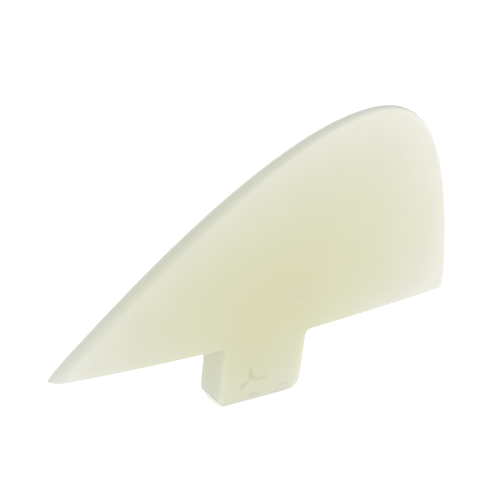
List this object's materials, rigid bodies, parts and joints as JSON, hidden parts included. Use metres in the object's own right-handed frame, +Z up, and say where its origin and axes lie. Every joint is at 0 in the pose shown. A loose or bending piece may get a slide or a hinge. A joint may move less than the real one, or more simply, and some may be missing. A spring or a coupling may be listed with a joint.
{
  "type": "paddleboard fin",
  "caption": "Small swept fin with a foiled blade and a rectangular tab that seats in a slot under a board's tail; moulded in one piece.",
  "frame": {"origin": "on the blade's flat base, at the middle of the tab's length and thickness", "axes": "+X aft, from the leading tip to the heel; +Z up the blade from its base to the crest; +Y to port, across the blade"},
  "size_m": [0.1182, 0.0094, 0.0723],
  "materials": {
    "fin": "satin, slightly translucent natural plastic, straight from the mould"
  },
  "bodies": {
    "root": {"fin": "fin"}
  },
  "joints": []
}
